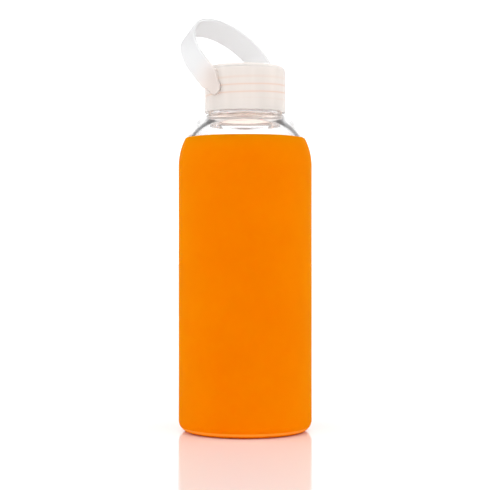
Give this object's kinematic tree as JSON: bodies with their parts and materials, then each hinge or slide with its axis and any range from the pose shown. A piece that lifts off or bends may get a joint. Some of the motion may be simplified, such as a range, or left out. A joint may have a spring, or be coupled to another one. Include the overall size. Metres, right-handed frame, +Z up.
{
  "type": "glass water bottle",
  "caption": "Clear glass water bottle in a silicone grip sleeve, with a frosted screw cap and a carry strap that swings over the cap.",
  "frame": {"origin": "centre of the flat base that the bottle stands on", "axes": "+Z up along the bottle's axis; at rest the strap leans over towards -X and +Y"},
  "size_m": [0.072, 0.072, 0.2262],
  "materials": {
    "glass": "clear, fire-polished",
    "sleeve_silicone": "satin, smooth moulded silicone",
    "cap_frosted": "frosted translucent, fine matt",
    "insert_plastic": "translucent, semi-matt",
    "seal_silicone": "matt, soft moulded",
    "strap_plastic": "frosted translucent, fine matt"
  },
  "bodies": {
    "bottle": {"glass_bottle": "glass", "silicone_sleeve": "sleeve_silicone"},
    "seal": {"cap_seal": "seal_silicone"},
    "cap": {"cap_shell": "cap_frosted", "cap_insert": "insert_plastic"},
    "strap": {"carry_strap": "strap_plastic"}
  },
  "joints": [
    {"name": "cap_lift", "type": "slide", "parent": "bottle", "child": "seal", "axis": [0, 0, 1], "range_m": [0, 0.024]},
    {"name": "cap_turn", "type": "hinge", "parent": "seal", "child": "cap", "pos_m": [0, 0, 0.184], "axis": [0, 0, 1], "range_deg": [0, 2160]},
    {"name": "strap_swing", "type": "hinge", "parent": "cap", "child": "strap", "pos_m": [0, 0, 0.184], "axis": [0.7133, 0.7009, 0], "range_deg": [-76, 154]}
  ],
  "couplings": [
    {"joint": "cap_lift", "follows": "cap_turn", "m_per_rad": 0.000636}
  ]
}
